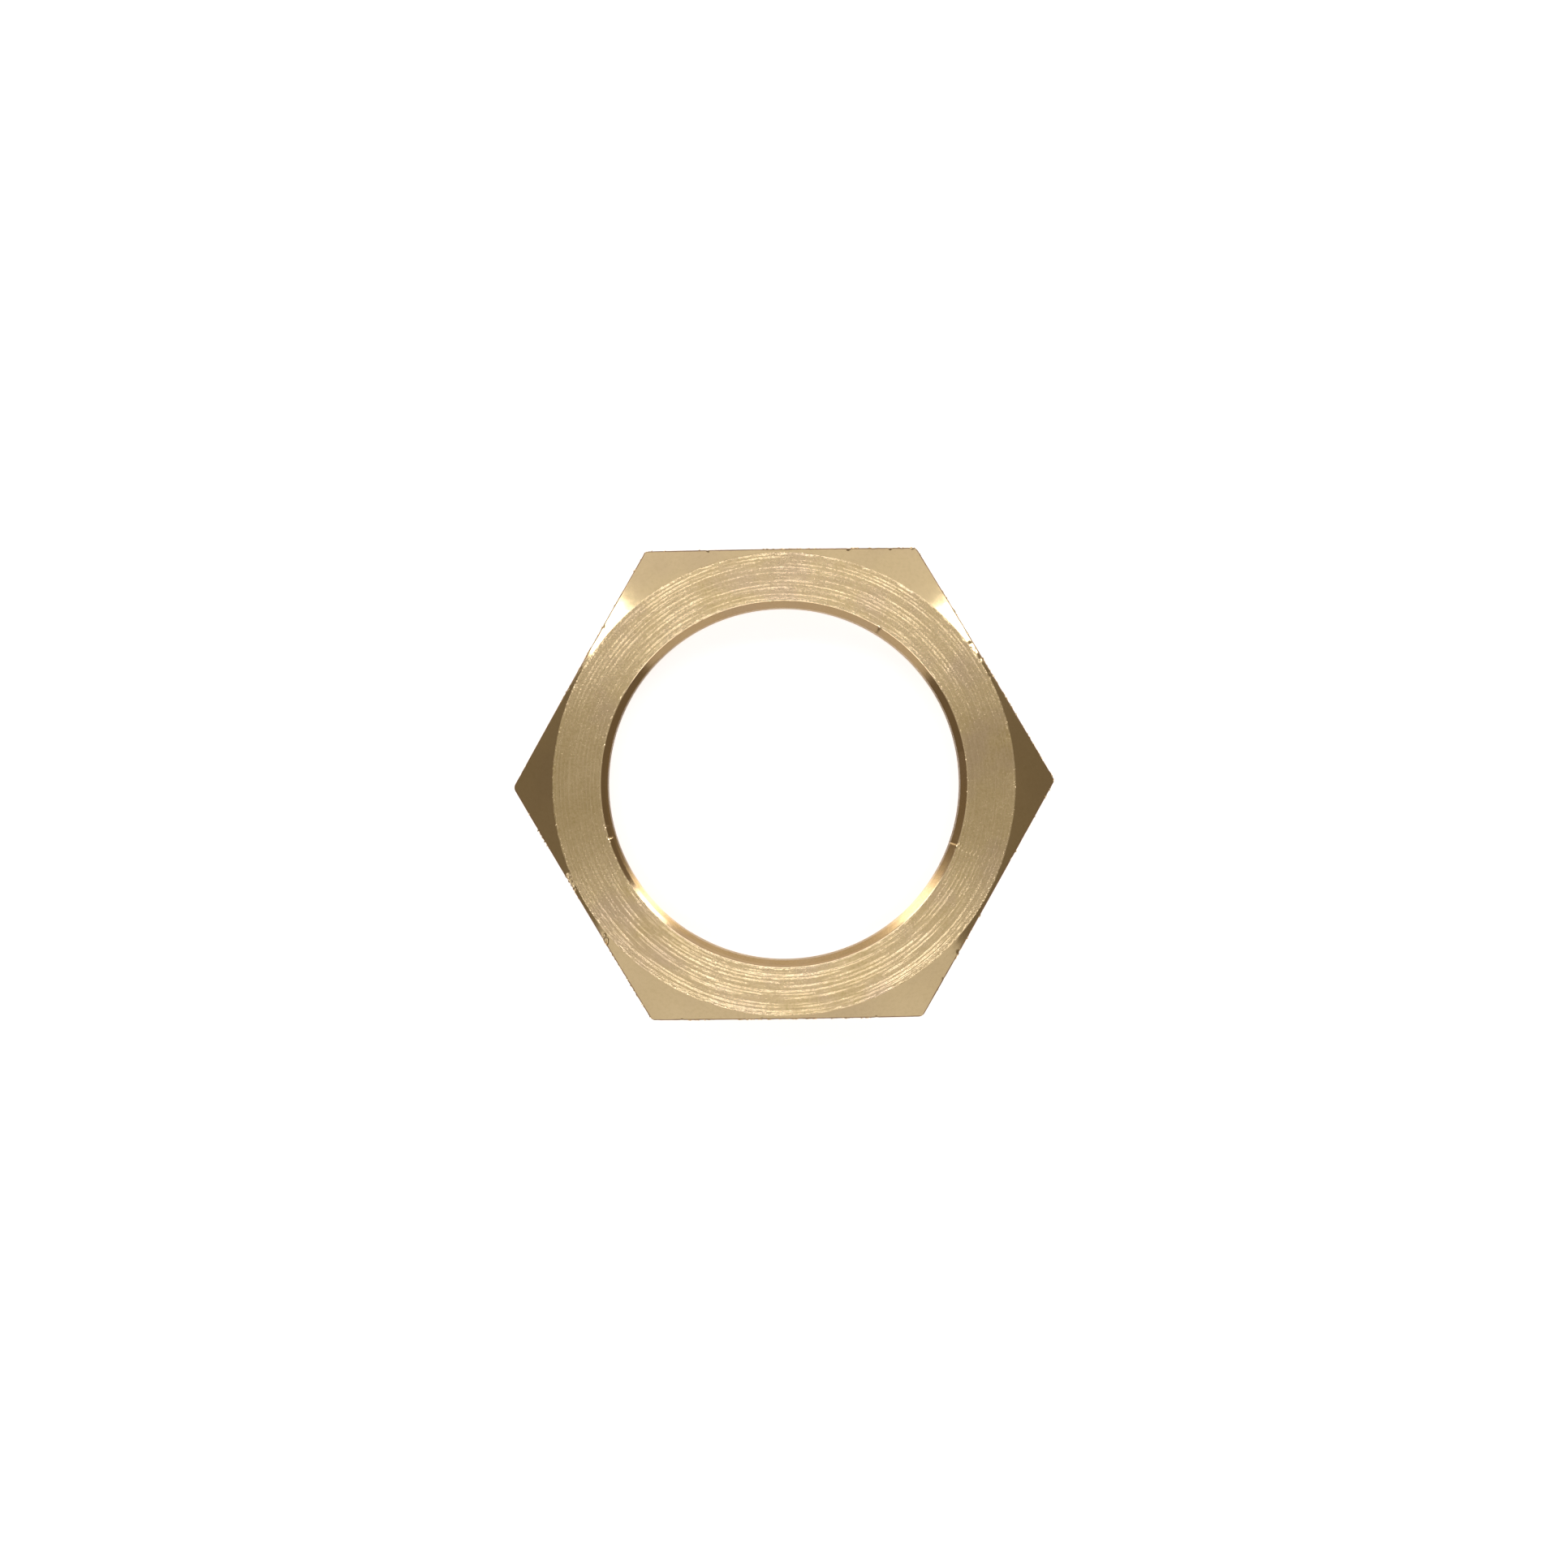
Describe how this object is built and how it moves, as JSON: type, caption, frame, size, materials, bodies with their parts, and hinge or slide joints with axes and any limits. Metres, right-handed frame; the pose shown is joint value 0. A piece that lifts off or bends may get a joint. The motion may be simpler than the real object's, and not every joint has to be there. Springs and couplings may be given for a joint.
{
  "type": "hex nut",
  "caption": "Thin brass hexagon lock nut with chamfered corners, turned ring faces and a countersunk right-hand fine metric thread right through.",
  "frame": {"origin": "on the thread's axis, in the plane of the lower face that the nut rests on", "axes": "+Z along the thread's axis, out of the upper face; +X towards one corner of the hexagon; +Y square to a pair of flats"},
  "size_m": [0.0414, 0.036, 0.006],
  "materials": {
    "turned_brass": "bare yellow brass: fine concentric turning lines on the faces, smooth chamfers, drawn flats"
  },
  "bodies": {
    "root": {"hex_nut": "turned_brass"}
  },
  "joints": []
}
